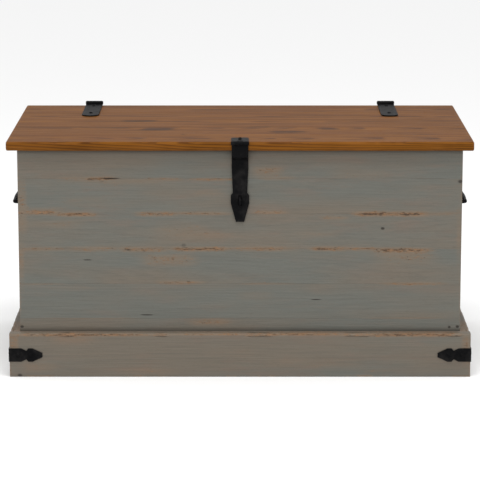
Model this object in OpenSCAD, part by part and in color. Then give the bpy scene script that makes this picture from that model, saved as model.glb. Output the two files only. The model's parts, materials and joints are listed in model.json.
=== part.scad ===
/* [Box] */
// Width of the walls across the front
box_w = 870; // [600:5:1200]
// Depth of the walls from front to back
box_d = 475; // [360:5:650]
// Height from the floor to the top of the lid
box_h = 470; // [360:5:640]
// Thickness of the wall boards
wall_t = 18; // [12:1:28]
// Height of the lower edge of the walls above the floor
wall_foot = 44; // [25:1:60]
// How much narrower the top board of each wall is than the others
top_trim = 12.5; // [0:0.5:25]
// Chamfer along the edges of the boards
arris = 0.6; // [0.3:0.1:3]

/* [Plinth] */
// Height of the plinth boards
plinth_h = 88; // [65:1:120]
// Thickness of the plinth boards
plinth_t = 20; // [12:1:30]
// Radius along the top edge of the plinth
plinth_round = 4; // [1:0.5:8]

/* [Inside] */
// Side of the square corner posts
post_w = 22; // [16:1:30]
// Thickness of the bottom panel
bottom_t = 12; // [6:1:20]
// Height of the cleats under the bottom panel
cleat_h = 24; // [15:1:40]
// Thickness of the cleats
cleat_t = 18; // [12:1:30]

/* [Lid] */
// Thickness of the lid boards
lid_t = 18; // [12:1:28]
// How far the lid reaches past the walls at the front and sides
lid_over = 20; // [8:1:40]
// Radius along the front edge of the lid
lid_round = 4; // [1:0.5:8]
// Gap between the closed lid and the walls
lid_gap = 0.5; // [0.2:0.1:2]
// How far the back edge of the lid stays in front of the back of the walls
lid_back_gap = 1; // [0.8:0.1:2]
// Thickness of the battens under the lid
batten_t = 18; // [10:1:28]
// Width of the battens under the lid
batten_w = 45; // [30:1:70]
// Distance from the battens to the side walls
batten_in = 35; // [30:1:90]
// Distance from the ends of the battens to the front and back walls
batten_end = 14; // [8:1:40]

/* [Hinges] */
// Distance of each hinge from the middle of the box
hinge_x = 311; // [150:1:380]
// Width of the hinges
hinge_w = 35; // [25:1:50]
// Length of the strap on the lid
strap_len = 162; // [100:1:260]
// Length of the leaf down the back of the box
back_leaf_len = 72; // [50:1:110]
// Thickness of the hinge leaves
leaf_t = 2.5; // [1.5:0.1:4]
// Outer radius of the hinge knuckles
knuckle_r = 4.5; // [4:0.1:7]
// Radius of the hinge pins
pin_r = 2.2; // [1.5:0.1:2.6]
// Angle at which the stay stops the lid
lid_open = 95; // [70:1:100]

/* [Hasp] */
// Width of the leaf on the lid
hasp_leaf_w = 34; // [26:1:50]
// Length of the leaf on the lid
hasp_leaf_len = 44; // [34:1:70]
// Thickness of the hasp parts
hasp_t = 2; // [1.5:0.1:3]
// Outer radius of the hasp knuckles
hasp_knuckle_r = 4; // [3.6:0.1:6]
// Radius of the hasp pin
hasp_pin_r = 1.8; // [1.2:0.1:2.2]
// Width of the strap at its top
strap_top_w = 32.5; // [24:0.5:45]
// Width of the strap above its arrowhead
strap_low_w = 28.5; // [20:0.5:40]
// Width of the arrowhead
arrow_w = 36; // [28:1:50]
// Width of the blunt tip
arrow_tip_w = 16; // [8:1:24]
// Distance from the top of the lid down to the bend
bend_drop = 29; // [27:1:40]
// Distance from the top of the lid to the arrowhead
arrow_drop = 108; // [90:1:140]
// Length of the full width of the arrowhead
arrow_full = 16; // [12:1:30]
// Distance from the top of the lid to the tip
tip_drop = 161; // [140:1:200]

/* [Staple] */
// Distance from the top of the lid to the padlock eye
eye_drop = 120; // [110:1:150]
// Radius of the padlock eye
eye_r = 5; // [4:0.1:6]
// Distance from the wall to the middle of the eye
eye_out = 11.5; // [10.5:0.1:16]
// Thickness of the eye tab
eye_t = 5; // [3:0.1:6]
// Wall of iron round the eye
eye_wall = 3.5; // [2.5:0.1:5]
// Clearance between the tab and the sides and foot of the slot
slot_gap = 0.8; // [0.5:0.1:2]
// Room above the tab for the strap to swing over it
swing_room = 3.4; // [2.5:0.1:6]

/* [Handles] */
// Length of the grip between the arms
grip_len = 120; // [100:1:160]
// Radius of the handle rod
rod_r = 3.8; // [2.5:0.1:5]
// How much the grip swells in its middle
grip_swell = 1.2; // [0:0.1:2]
// Height of the grip below the top of the lid
grip_drop = 154; // [120:1:200]
// Height of the pivots above the grip
pivot_up = 36; // [28:1:60]
// Distance from the wall to the middle of the pivots
pivot_out = 8.5; // [7:0.1:12]
// Distance from the wall to the middle of the grip
grip_out = 23; // [22:0.5:40]
// Radius of the bends of the rod
bend_r = 6; // [4:0.5:8]
// How far a handle can swing out
handle_open = 140; // [90:1:150]
// Length of each pivot eye
pivot_eye_len = 10; // [6:1:14]
// Wall of iron round the pivots
pivot_eye_wall = 2.4; // [1.6:0.1:4]

/* [Iron plates] */
// Length of a corner plate along each face
corner_len = 65; // [45:1:90]
// Full height of the plates
plate_h = 27; // [20:1:36]
// Height of the waist of the plates
waist_h = 17; // [10:1:22]
// Height of the blunt tips
plate_tip_h = 8.4; // [4:0.2:12]
// Thickness of the plates
plate_t = 1.5; // [1:0.1:2.5]
// Height of the middle of the corner plates above the floor
corner_z = 44.5; // [30:0.5:60]
// Length of a handle plate
handle_plate_len = 176; // [160:1:230]

/* [Fasteners] */
// Radius of the domed heads
head_r = 4; // [3:0.1:5]
// Height of the domed heads
head_h = 2.2; // [1.5:0.1:3]
// Radius of the shanks
shank_r = 1.6; // [1.2:0.1:2]
// Length of the shanks under the head
shank_len = 14; // [10:1:16]

/* [Lid stay] */
// Distance kept between the arm and the bottom panel, lid closed
stay_clear = 12; // [8:1:60]
// Distance from the underside of the lid to the pivot
stay_below = 16; // [14:0.5:24]
// Angle between the pivot and the stud seen from the hinge, lid closed
stay_angle = 14; // [12:0.5:20]
// Width of the arm
stay_w = 16; // [12:0.5:24]
// Thickness of the arm
stay_t = 2.5; // [1.5:0.1:4]
// Distance from the side wall to the arm
stay_out = 5; // [4:0.1:8]
// Radius of the stud
stud_r = 3; // [2.5:0.1:4]
// Radius of the head of the stud
stud_head_r = 6.5; // [5:0.1:8]
// Radius of the rivet
rivet_r = 2.5; // [2:0.1:3]

/* [Clearances] */
// Radial clearance of a pin in a turning knuckle or eye
run_gap = 0.06; // [0.02:0.01:0.1]
// Gap between neighbouring knuckles along their pin
side_gap = 0.4; // [0.2:0.1:1]
// Gap between pieces that slide past one another
slide_gap = 0.5; // [0.3:0.1:1]

/* [Hidden] */
$fn = 48;
FRONT_N = 6; // boards in the front and side walls
BACK_N = 3; // wide boards in the back wall
LID_N = 5; // boards in the lid
SIDES = ["left", "right"];
CORNERS = ["front_left", "front_right", "back_left", "back_right"];
function numbered(stem, n) = [for (i = [1:n]) str(stem, i)];
function sided(stem, tail = "") = [for (s = SIDES) str(s, stem, tail)];

WOOD_GREY = "#73706a";
WOOD_LID = "#7d5f46";
WOOD_BARE = "#a8875c";
IRON = "#222222";

// The hasp stands out in front and the hinges behind, and the origin is midway between them.
front_out = 2 * hasp_knuckle_r + slide_gap;
back_out = 2 * knuckle_r;
y_lid = -(box_d + lid_over) / 2 + (front_out - back_out) / 2;
y_front = y_lid + lid_over;
y_back = y_front + box_d;
y_mid = (y_front + y_back) / 2;
y_plinth = y_front - plinth_t;
wall_x = box_w / 2;
inner_x = wall_x - wall_t;
lid_x = wall_x + lid_over;
lid_z = box_h - lid_t;
wall_z = lid_z - lid_gap;
board_h = (wall_z - wall_foot + top_trim) / FRONT_N;
back_board_h = (wall_z - wall_foot) / BACK_N;
lid_y_back = y_back - lid_back_gap;
lid_board_d = (lid_y_back - y_lid) / LID_N;
bottom_z = wall_foot + cleat_h;

hinge_y = y_back + knuckle_r;
hinge_z = box_h + knuckle_r;
KNUCKLES = 5;
hasp_y = y_lid - slide_gap - hasp_knuckle_r;
hasp_z = box_h + hasp_t - hasp_knuckle_r;
HASP_KNUCKLES = 3;

plate_gap = 0.3;
strap_back_y = y_lid - slide_gap;
strap_low_y = y_front - plate_t - plate_gap;
eye_z = box_h - eye_drop;
eye_outer_r = eye_r + eye_wall;
tab_h = 2 * eye_outer_r;

grip_z = box_h - grip_drop;
pivot_z = grip_z + pivot_up;

// The stay's pivot and stud are equally far from the hinge axis, and the arm hangs
// as low as the bottom panel allows.
slot_r = stud_r + slide_gap / 2;
stay_tail = slot_r + 5; // from the far end of the slot's middle line to the middle of the round end
stay_drop = lid_z - stay_below - bottom_z - bottom_t - stay_clear;
stay_a = (stay_drop - stay_tail - stay_w / 2) / (2 * sin((stay_angle + lid_open) / 2));
stay_dz = hinge_z - (lid_z - stay_below);
stay_slope = asin(stay_dz / stay_a);
stud_slope = stay_slope + stay_angle;
pivot_yz = [hinge_y - stay_a * cos(stay_slope), hinge_z - stay_dz];
stud_yz = [hinge_y - stay_a * cos(stud_slope), hinge_z - stay_a * sin(stud_slope)];
slot_near = 2 * stay_a * sin(stay_angle / 2);
slot_far = 2 * stay_a * sin((stay_angle + lid_open) / 2);
stay_x = inner_x - stay_out - stay_t;

// ---------- shared shapes ----------
function flip(points) = [for (p = points) [-p.x, p.y]];
function arc(c, r, a0, a1, n = 6) = [for (i = [0:n]) c + r * [cos(a0 + (a1 - a0) * i / n), sin(a0 + (a1 - a0) * i / n)]];
function opposite(points) = [for (i = [len(points) - 1:-1:0]) [points[i].x, -points[i].y]];

// A section drawn in Y and Z is carried along X; one drawn in X and Z is carried along Y.
module along_x(x0, length) translate([x0, 0, 0]) rotate([90, 0, 90]) linear_extrude(length) children();
module along_y(y0, length) translate([0, y0 + length, 0]) rotate([90, 0, 0]) linear_extrude(length) children();

module pin_x(x0, length, r) translate([x0, 0, 0]) rotate([0, 90, 0]) cylinder(r = r, h = length);
module pin_y(y0, length, r) translate([0, y0, 0]) rotate([-90, 0, 0]) cylinder(r = r, h = length);

// Section of a wall board: outer face at 0, chamfered along both of its edges.
function board_section(t, h, toward = 1) = [
    for (p = [[arris, 0], [0, arris], [0, h - arris], [arris, h], [t, h], [t, 0]]) [toward * p.x, p.y]
];

// Heights of one wall board, counted from the bottom; the top one is narrower.
function board_z(i) = wall_foot + (i - 1) * board_h;
function board_top(i) = i == FRONT_N ? wall_z : board_z(i + 1);

// Half outline of an iron plate from its middle or corner out to its blunt tip.
function arrow_edge(length, full, waist, tip) = [
    [0.36 * length, full / 2],
    [0.51 * length, waist / 2],
    [0.575 * length, full / 2],
    [0.70 * length, full / 2],
    [length, tip / 2]
];

// Domed head with a shank under it, standing on the XY plane and pointing up.
module domed() {
    cap_r = (head_r * head_r + head_h * head_h) / (2 * head_h);
    intersection() {
        translate([0, 0, head_h - cap_r]) sphere(cap_r);
        cylinder(r = head_r, h = head_h);
    }
    translate([0, 0, -shank_len]) cylinder(r = shank_r, h = shank_len + 0.1);
}
module drill(depth) translate([0, 0, -depth]) cylinder(r = shank_r + run_gap, h = 2 * depth);

// Ways that a fastener faces.
module facing_front() rotate([90, 0, 0]) children();
module facing_back() rotate([-90, 0, 0]) children();
module facing_side(sx) rotate([0, 90 * sx, 0]) children();

// ---------- walls ----------
module front_board(i) color(WOOD_GREY)
    along_x(-wall_x, box_w) translate([y_front, board_z(i)])
        polygon(board_section(wall_t, board_top(i) - board_z(i)));

module side_board(i, sx) color(WOOD_GREY)
    along_y(y_front + wall_t, box_d - 2 * wall_t) translate([sx * wall_x, board_z(i)])
        polygon(board_section(wall_t, board_top(i) - board_z(i), -sx));

module back_board(i) color(WOOD_GREY)
    along_x(-wall_x, box_w) translate([y_back, wall_foot + (i - 1) * back_board_h])
        polygon(board_section(wall_t, back_board_h, -1));

module post(sx, at_front) color(WOOD_BARE)
    translate([
        sx * (inner_x - post_w / 2) - post_w / 2,
        at_front ? y_front + wall_t : y_back - wall_t - post_w,
        bottom_z + bottom_t
    ])
        cube([post_w, post_w, wall_z - bottom_z - bottom_t]);

module bottom_panel() color(WOOD_BARE)
    translate([-inner_x, y_front + wall_t, bottom_z]) cube([2 * inner_x, box_d - 2 * wall_t, bottom_t]);

module cleat(at_front) color(WOOD_BARE)
    translate([-inner_x, at_front ? y_front + wall_t : y_back - wall_t - cleat_t, wall_foot])
        cube([2 * inner_x, cleat_t, cleat_h]);

// ---------- plinth ----------
// Section with its outer top edge rounded.
function plinth_section(toward = 1) = [
    for (p = concat(
        [[plinth_t, 0], [arris, 0], [0, arris]],
        arc([plinth_round, plinth_h - plinth_round], plinth_round, 180, 90),
        [[plinth_t, plinth_h]]
    )) [toward * p.x, p.y]
];
module plinth_front() color(WOOD_GREY)
    along_x(-wall_x - plinth_t, box_w + 2 * plinth_t) translate([y_plinth, 0]) polygon(plinth_section());

module plinth_side(sx) color(WOOD_GREY)
    along_y(y_front, box_d) translate([sx * (wall_x + plinth_t), 0]) polygon(plinth_section(-sx));

// ---------- lid ----------
// Board 1 is at the front, with its front edge rounded above and below.
function lid_section(i) = i == 1
    ? concat(
        arc([lid_round, lid_round], lid_round, 270, 180),
        arc([lid_round, lid_t - lid_round], lid_round, 180, 90),
        [[lid_board_d, lid_t], [lid_board_d, 0]]
    )
    : [[0, 0], [0, lid_t], [lid_board_d, lid_t], [lid_board_d, 0]];
module lid_board(i) color(WOOD_LID)
    along_x(-lid_x, 2 * lid_x) translate([y_lid + (i - 1) * lid_board_d, lid_z]) polygon(lid_section(i));

module lid_batten(sx) color(WOOD_LID)
    along_y(y_front + wall_t + batten_end, box_d - 2 * (wall_t + batten_end))
        translate([sx * (inner_x - batten_in - batten_w / 2), lid_z])
            polygon([
                [-batten_w / 2, 0], [batten_w / 2, 0], [batten_w / 2, arris - batten_t],
                [batten_w / 2 - arris, -batten_t], [arris - batten_w / 2, -batten_t], [-batten_w / 2, arris - batten_t]
            ]);

// ---------- lid hinges ----------
SCREW_IN = 7.5; // distance of the leaf screws from its edges
STRAP_SCREWS = [26, strap_len - hinge_w]; // distances from the back edge along the strap
LEAF_SCREWS = [SCREW_IN - hinge_w / 2, hinge_w / 2 - SCREW_IN]; // places across the back leaf
leaf_screw_z = [box_h - back_leaf_len + 2 * SCREW_IN, lid_z - 2 * SCREW_IN];
knuckle_len = hinge_w / KNUCKLES;
notch = knuckle_r + slide_gap;
function is_lid_knuckle(k) = k % 2 == 1;

// One knuckle of a hinge with a finger to its leaf; the finger runs forward or down.
module knuckle(k, forward) {
    x0 = -hinge_w / 2 + k * knuckle_len + side_gap / 2;
    width = knuckle_len - side_gap;
    translate([0, hinge_y, hinge_z]) pin_x(x0, width, knuckle_r);
    if (forward)
        translate([x0, hinge_y - notch - 1, box_h]) cube([width, notch + 1, leaf_t]);
    else
        translate([x0, y_back, hinge_z - notch - 1]) cube([width, leaf_t, notch + 1]);
}
module hinge_bore() translate([0, hinge_y, hinge_z]) pin_x(-hinge_w, 2 * hinge_w, pin_r + run_gap);

module hinge_strap(sx) color(IRON) translate([sx * hinge_x, 0, 0]) difference() {
    union() {
        translate([-hinge_w / 2, y_back - strap_len + hinge_w / 2, box_h])
            cube([hinge_w, hinge_y - notch - y_back + strap_len - hinge_w / 2, leaf_t]);
        translate([0, y_back - strap_len + hinge_w / 2, box_h]) cylinder(r = hinge_w / 2, h = leaf_t);
        for (k = [0:KNUCKLES - 1]) if (is_lid_knuckle(k)) knuckle(k, true);
    }
    hinge_bore();
    for (d = STRAP_SCREWS) translate([0, y_back - d, box_h + leaf_t]) drill(2 * leaf_t);
}

module hinge_leaf(sx) color(IRON) translate([sx * hinge_x, 0, 0]) difference() {
    union() {
        translate([-hinge_w / 2, y_back, box_h - back_leaf_len])
            cube([hinge_w, leaf_t, hinge_z - notch - box_h + back_leaf_len]);
        for (k = [0:KNUCKLES - 1]) if (!is_lid_knuckle(k)) knuckle(k, false);
    }
    hinge_bore();
    for (x = LEAF_SCREWS, z = leaf_screw_z) translate([x, y_back + leaf_t, z]) facing_back() drill(2 * leaf_t);
}

// Pins with a round button at each end, one solid in each hinge.
module hinge_pins() color(IRON) for (s = [-1, 1]) translate([s * hinge_x, hinge_y, hinge_z]) {
    button = 1.2;
    end = hinge_w / 2 - side_gap / 2;
    pin_x(-end - 0.1, 2 * end + 0.2, pin_r);
    for (e = [-1, 1]) pin_x(e > 0 ? end : -end - button, button, pin_r + 1.2);
}

// ---------- hasp ----------
HASP_SCREWS = [hasp_leaf_len / 3, hasp_leaf_len - 10]; // distances from the front edge of the lid
hasp_knuckle_len = hasp_leaf_w / HASP_KNUCKLES;
hasp_notch = hasp_knuckle_r + slide_gap;
corner_r = 6;
module hasp_bore() translate([0, hasp_y, hasp_z])
    pin_x(-hasp_leaf_w, 2 * hasp_leaf_w, hasp_pin_r + run_gap);

// The leaf lies on the lid and curls down into the two outer knuckles.
module hasp_leaf() color(IRON) difference() {
    union() {
        translate([-hasp_leaf_w / 2, hasp_y + hasp_notch, box_h])
            cube([hasp_leaf_w, y_lid + hasp_leaf_len - corner_r - hasp_y - hasp_notch, hasp_t]);
        for (s = [-1, 1]) translate([s * (hasp_leaf_w / 2 - corner_r), y_lid + hasp_leaf_len - corner_r, box_h])
            cylinder(r = corner_r, h = hasp_t);
        translate([corner_r - hasp_leaf_w / 2, y_lid + hasp_leaf_len - 2 * corner_r, box_h])
            cube([hasp_leaf_w - 2 * corner_r, 2 * corner_r, hasp_t]);
        for (k = [0, 2]) {
            x0 = -hasp_leaf_w / 2 + k * hasp_knuckle_len + side_gap / 2;
            width = hasp_knuckle_len - side_gap;
            translate([0, hasp_y, hasp_z]) pin_x(x0, width, hasp_knuckle_r);
            translate([x0, hasp_y, box_h]) cube([width, hasp_notch + 1, hasp_t]);
        }
    }
    hasp_bore();
    for (d = HASP_SCREWS) translate([0, y_lid + d, box_h + hasp_t]) drill(2 * hasp_t);
}

// The strap hangs from the middle knuckle, bends in under the lid and lies on the staple's plate.
module hasp_strap() color(IRON) {
    bend_z = box_h - bend_drop;
    step = strap_low_y - strap_back_y;
    low_z = bend_z - 0.45 * step;
    root_z = hasp_z - hasp_notch;
    side_path = [
        [strap_back_y - hasp_t, root_z], [strap_back_y, root_z], [strap_back_y, bend_z],
        [strap_low_y, low_z], [strap_low_y, box_h - tip_drop], [strap_low_y - hasp_t, box_h - tip_drop],
        [strap_low_y - hasp_t, low_z - 1], [strap_back_y - hasp_t, bend_z - 1]
    ];
    neck = arrow_drop - 4.5;
    half = [
        [strap_top_w / 2, 0], [strap_top_w / 2, low_z - 16 - box_h], [strap_low_w / 2, -neck],
        [arrow_w / 2, -arrow_drop], [arrow_w / 2, -arrow_drop - arrow_full], [arrow_tip_w / 2, -tip_drop]
    ];
    outline = concat(half, [for (i = [len(half) - 1:-1:0]) [-half[i].x, half[i].y]]);
    width = hasp_knuckle_len - side_gap;
    difference() {
        union() {
            intersection() {
                along_x(-arrow_w, 2 * arrow_w) polygon(side_path);
                along_y(y_lid - box_d / 2, box_d) translate([0, box_h]) polygon(outline);
            }
            translate([0, hasp_y, hasp_z]) pin_x(-width / 2, width, hasp_knuckle_r);
            translate([-width / 2, strap_back_y - hasp_t, root_z - 1])
                cube([width, hasp_t, hasp_notch + 1]);
        }
        hasp_bore();
        translate([-eye_t / 2 - slot_gap, strap_low_y - 2 * hasp_t, eye_z - tab_h / 2 - slot_gap])
            cube([eye_t + 2 * slot_gap, 4 * hasp_t, tab_h + slot_gap + swing_room]);
    }
}

module hasp_pin() color(IRON) translate([0, hasp_y, hasp_z]) {
    button = 1;
    end = hasp_leaf_w / 2 - side_gap / 2;
    pin_x(-end - 0.1, 2 * end + 0.2, hasp_pin_r);
    for (e = [-1, 1]) pin_x(e > 0 ? end : -end - button, button, hasp_pin_r + 1);
}

// ---------- staple ----------
staple_w = 22;
staple_h = tab_h + 14;
spike_r = 2.5;
spike_len = wall_t - 4;
// The plate and its tab are one forging, held by a spike driven into the wall.
module staple() color(IRON) difference() {
    union() {
        translate([-staple_w / 2, y_front - plate_t, eye_z - staple_h / 2]) cube([staple_w, plate_t, staple_h]);
        translate([0, y_front - eye_out, eye_z]) pin_x(-eye_t / 2, eye_t, eye_outer_r);
        translate([-eye_t / 2, y_front - eye_out, eye_z - eye_outer_r]) cube([eye_t, eye_out, tab_h]);
        translate([0, y_front, eye_z]) pin_y(-plate_t, plate_t + spike_len, spike_r);
    }
    translate([0, y_front - eye_out, eye_z]) pin_x(-eye_t, 2 * eye_t, eye_r);
}

// ---------- side handles ----------
arm_y = grip_len / 2;
eye_mid = arm_y - bend_r - slide_gap - pivot_eye_len / 2;
PLATE_NAILS = handle_plate_len / 2 * [0.67, 0.83]; // distances of the nails from the middle of a plate
module handle_plate(sx) color(IRON) difference() {
    half = handle_plate_len / 2;
    edge = arrow_edge(half, plate_h, waist_h, plate_tip_h);
    far = concat(edge, opposite(edge));
    union() {
        translate([sx > 0 ? wall_x : -wall_x - plate_t, y_mid, pivot_z]) rotate([90, 0, 90])
            linear_extrude(plate_t) polygon(concat(far, flip([for (i = [len(far) - 1:-1:0]) far[i]])));
        for (s = [-1, 1]) translate([sx * (wall_x + pivot_out), y_mid, pivot_z]) {
            pin_y(s * eye_mid - pivot_eye_len / 2, pivot_eye_len, rod_r + pivot_eye_wall);
            translate([sx > 0 ? -pivot_out : 0, s * eye_mid - pivot_eye_len / 2, -rod_r])
                cube([pivot_out, pivot_eye_len, 2 * rod_r]);
        }
    }
    translate([sx * (wall_x + pivot_out), y_mid, pivot_z]) pin_y(-grip_len, 2 * grip_len, rod_r + run_gap);
    for (s = [-1, 1], d = PLATE_NAILS) translate([sx * (wall_x + plate_t), y_mid + s * d, pivot_z])
        facing_side(sx) drill(2 * plate_t);
}

// One rod: pivot, bend down, arm, bend out, bend along the grip, and the same again at the other end.
module elbow() rotate_extrude(angle = 90) translate([bend_r, 0]) circle(rod_r);
module bail_end() {
    inner = eye_mid - pivot_eye_len / 2 - slide_gap;
    step = grip_out - pivot_out;
    pin_y(inner, arm_y - bend_r - inner, rod_r);
    translate([0, inner - 2, 0]) pin_y(0, 2, rod_r + 1);
    translate([0, arm_y - bend_r, -bend_r]) rotate([0, -90, 0]) elbow();
    translate([0, arm_y, bend_r - pivot_up]) cylinder(r = rod_r, h = pivot_up - 2 * bend_r);
    translate([bend_r, arm_y, bend_r - pivot_up]) rotate([-90, 0, 180]) elbow();
    translate([0, arm_y, -pivot_up]) pin_x(bend_r, step - 2 * bend_r, rod_r);
    translate([step - bend_r, arm_y - bend_r, -pivot_up]) elbow();
}
// Grip whose radius rises by a squared cosine from its ends to its middle.
module grip_bar(length) rotate([90, 0, 0]) rotate_extrude() polygon(concat(
    [[0, length / 2], [0, -length / 2]],
    [for (u = [-1:0.125:1]) [rod_r + grip_swell * pow(cos(90 * u), 2), u * length / 2]]
));
module handle_bail(sx) color(IRON) translate([sx * (wall_x + pivot_out), y_mid, pivot_z])
    mirror([sx > 0 ? 0 : 1, 0, 0]) {
        for (e = [0, 1]) mirror([0, e, 0]) bail_end();
        translate([grip_out - pivot_out, 0, -pivot_up]) grip_bar(grip_len - 2 * bend_r);
    }

// ---------- corner plates ----------
CORNER_NAILS = corner_len * [0.26, 0.64]; // distances of the nails from the corner
module corner_leg() linear_extrude(plate_t) polygon(concat(
    [[-plate_t, plate_h / 2]],
    arrow_edge(corner_len, plate_h, waist_h, plate_tip_h),
    opposite(arrow_edge(corner_len, plate_h, waist_h, plate_tip_h)),
    [[-plate_t, -plate_h / 2]]
));
module corner_plate(sx) color(IRON) mirror([sx > 0 ? 1 : 0, 0, 0])
    translate([-wall_x - plinth_t, y_plinth, corner_z]) difference() {
        union() {
            rotate([90, 0, 0]) corner_leg();
            translate([-plate_t, 0, 0]) rotate([90, 0, 90]) corner_leg();
        }
        for (d = CORNER_NAILS) {
            translate([d, -plate_t, 0]) facing_front() drill(2 * plate_t);
            translate([-plate_t, d, 0]) facing_side(-1) drill(2 * plate_t);
        }
    }

// ---------- lid stay ----------
module stay_frame() translate([stay_x, pivot_yz[0], pivot_yz[1]])
    rotate([atan2(stud_yz[1] - pivot_yz[1], stud_yz[0] - pivot_yz[0]), 0, 0]) children();

// Flat arm from the pivot on the lid, slotted for the stud on the wall.
module stay_arm() color("#8c8c8c") stay_frame() rotate([90, 0, 90]) difference() {
    tail = slot_far + stay_tail;
    union() {
        cylinder(r = stay_w / 2, h = stay_t);
        translate([0, -stay_w / 2, 0]) cube([tail, stay_w, stay_t]);
        translate([tail, 0, 0]) cylinder(r = stay_w / 2, h = stay_t);
    }
    translate([0, 0, -1]) cylinder(r = rivet_r + run_gap, h = stay_t + 2);
    for (d = [slot_near, slot_far]) translate([d, 0, -1]) cylinder(r = slot_r, h = stay_t + 2);
    translate([slot_near, -slot_r, -1]) cube([slot_far - slot_near, 2 * slot_r, stay_t + 2]);
}

// Angle bracket under the lid, with its tab on the inner side of the arm.
bracket_t = 2.5;
bracket_d = 40;
bracket_w = 24;
BRACKET_SCREWS = [-12, 12]; // places along the bracket
tab_x = stay_x - slide_gap - bracket_t;
module stay_bracket() color("#8c8c8c") difference() {
    union() {
        translate([tab_x + bracket_t - bracket_w, pivot_yz[0] - bracket_d / 2, lid_z - bracket_t])
            cube([bracket_w, bracket_d, bracket_t]);
        translate([tab_x, pivot_yz[0] - stay_w / 2, pivot_yz[1]]) cube([bracket_t, stay_w, stay_below]);
        translate([0, pivot_yz[0], pivot_yz[1]]) pin_x(tab_x, bracket_t, stay_w / 2);
    }
    translate([0, pivot_yz[0], pivot_yz[1]]) pin_x(tab_x - 1, bracket_t + 2, rivet_r + run_gap);
    for (d = BRACKET_SCREWS) translate([tab_x - bracket_w / 2, pivot_yz[0] + d, lid_z - bracket_t])
        rotate([180, 0, 0]) drill(2 * bracket_t);
}

module stay_rivet() color("#8c8c8c") translate([0, pivot_yz[0], pivot_yz[1]]) {
    head = 1.4;
    gap = slide_gap / 2;
    pin_x(tab_x - 0.1, bracket_t + slide_gap + stay_t + gap + 0.2, rivet_r);
    pin_x(tab_x - head, head, rivet_r + 2);
    pin_x(stay_x + stay_t + gap, head, rivet_r + 2);
}

STUD_SCREW = 12; // distance of each screw above and below the stud
base_t = 2; // thickness of the stud's base plate
module stud_screw_places() for (s = [-1, 1])
    translate([inner_x - base_t, stud_yz[0], stud_yz[1] + s * STUD_SCREW]) facing_side(-1) children();
module stay_stud() color("#8c8c8c") difference() {
    head = 2;
    head_x = stay_x - slide_gap - head;
    union() {
        translate([inner_x - base_t, stud_yz[0] - 9, stud_yz[1] - STUD_SCREW - 7])
            cube([base_t, 18, 2 * STUD_SCREW + 14]);
        translate([0, stud_yz[0], stud_yz[1]]) pin_x(head_x + 0.1, inner_x - base_t - head_x, stud_r);
        translate([0, stud_yz[0], stud_yz[1]]) pin_x(head_x, head, stud_head_r);
    }
    stud_screw_places() drill(2 * base_t);
}

// ---------- fasteners ----------
module lid_screws() color(IRON) {
    for (s = [-1, 1], d = STRAP_SCREWS) translate([s * hinge_x, y_back - d, box_h + leaf_t]) domed();
    for (d = HASP_SCREWS) translate([0, y_lid + d, box_h + hasp_t]) domed();
    for (d = BRACKET_SCREWS) translate([tab_x - bracket_w / 2, pivot_yz[0] + d, lid_z - bracket_t])
        rotate([180, 0, 0]) domed();
}
module carcass_screws() color(IRON) {
    for (s = [-1, 1], x = LEAF_SCREWS, z = leaf_screw_z)
        translate([s * hinge_x + x, y_back + leaf_t, z]) facing_back() domed();
    stud_screw_places() domed();
}
module dome_nails() color(IRON) for (s = [-1, 1]) {
    for (d = CORNER_NAILS) {
        translate([s * (wall_x + plinth_t - d), y_plinth - plate_t, corner_z]) facing_front() domed();
        translate([s * (wall_x + plinth_t + plate_t), y_plinth + d, corner_z]) facing_side(s) domed();
    }
    for (e = [-1, 1], d = PLATE_NAILS)
        translate([s * (wall_x + plate_t), y_mid + e * d, pivot_z]) facing_side(s) domed();
}

// ---------- the whole box ----------
for (i = [1:FRONT_N]) {
    front_board(i);
    side_board(i, -1);
    side_board(i, 1);
}
for (i = [1:BACK_N]) back_board(i);
for (i = [1:LID_N]) lid_board(i);
for (s = [-1, 1]) {
    side = SIDES[s > 0 ? 1 : 0];
    post(s, true);
    post(s, false);
    plinth_side(s);
    lid_batten(s);
    hinge_strap(s);
    hinge_leaf(s);
    handle_plate(s);
    handle_bail(s);
    corner_plate(s);
}
plinth_front();
bottom_panel();
cleat(true);  // cleat_front
cleat(false);  // cleat_back
hinge_pins();
hasp_leaf();
hasp_strap();
hasp_pin();
staple();
stay_arm();
stay_bracket();
stay_rivet();
stay_stud();
lid_screws();
carcass_screws();
dome_nails();
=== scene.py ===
# %% [markdown]
# # A grey-washed pine toy box
# The box is a carcass of flush pine boards under a honey-brown plank lid. Black iron straps
# hinge the lid, a hasp closes it, and each side has a drop handle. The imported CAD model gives
# every size and place. This script dresses it: each board becomes a real plank with worn
# edges, and each iron becomes a forging with softened edges and a hammered skin.

# %% Load the frame
import json
import math

import bmesh
import bpy
import numpy as np
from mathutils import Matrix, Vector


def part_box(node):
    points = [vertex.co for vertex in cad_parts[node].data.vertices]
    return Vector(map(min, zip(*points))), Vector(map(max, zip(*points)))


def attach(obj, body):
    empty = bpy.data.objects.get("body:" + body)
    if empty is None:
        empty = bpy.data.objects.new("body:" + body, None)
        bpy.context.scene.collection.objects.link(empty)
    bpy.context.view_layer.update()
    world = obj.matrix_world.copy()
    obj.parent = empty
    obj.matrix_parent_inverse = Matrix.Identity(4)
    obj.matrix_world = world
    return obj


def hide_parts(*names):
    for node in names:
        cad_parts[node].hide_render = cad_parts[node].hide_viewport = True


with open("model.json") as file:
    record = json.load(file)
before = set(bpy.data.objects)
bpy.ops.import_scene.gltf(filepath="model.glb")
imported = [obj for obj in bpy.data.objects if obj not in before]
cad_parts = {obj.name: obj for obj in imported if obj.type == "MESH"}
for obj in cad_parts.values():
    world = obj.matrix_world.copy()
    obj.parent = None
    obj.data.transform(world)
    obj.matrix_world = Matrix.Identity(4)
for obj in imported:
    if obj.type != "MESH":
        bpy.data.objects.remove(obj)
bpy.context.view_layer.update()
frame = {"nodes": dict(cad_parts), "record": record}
MM = 0.001
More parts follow.
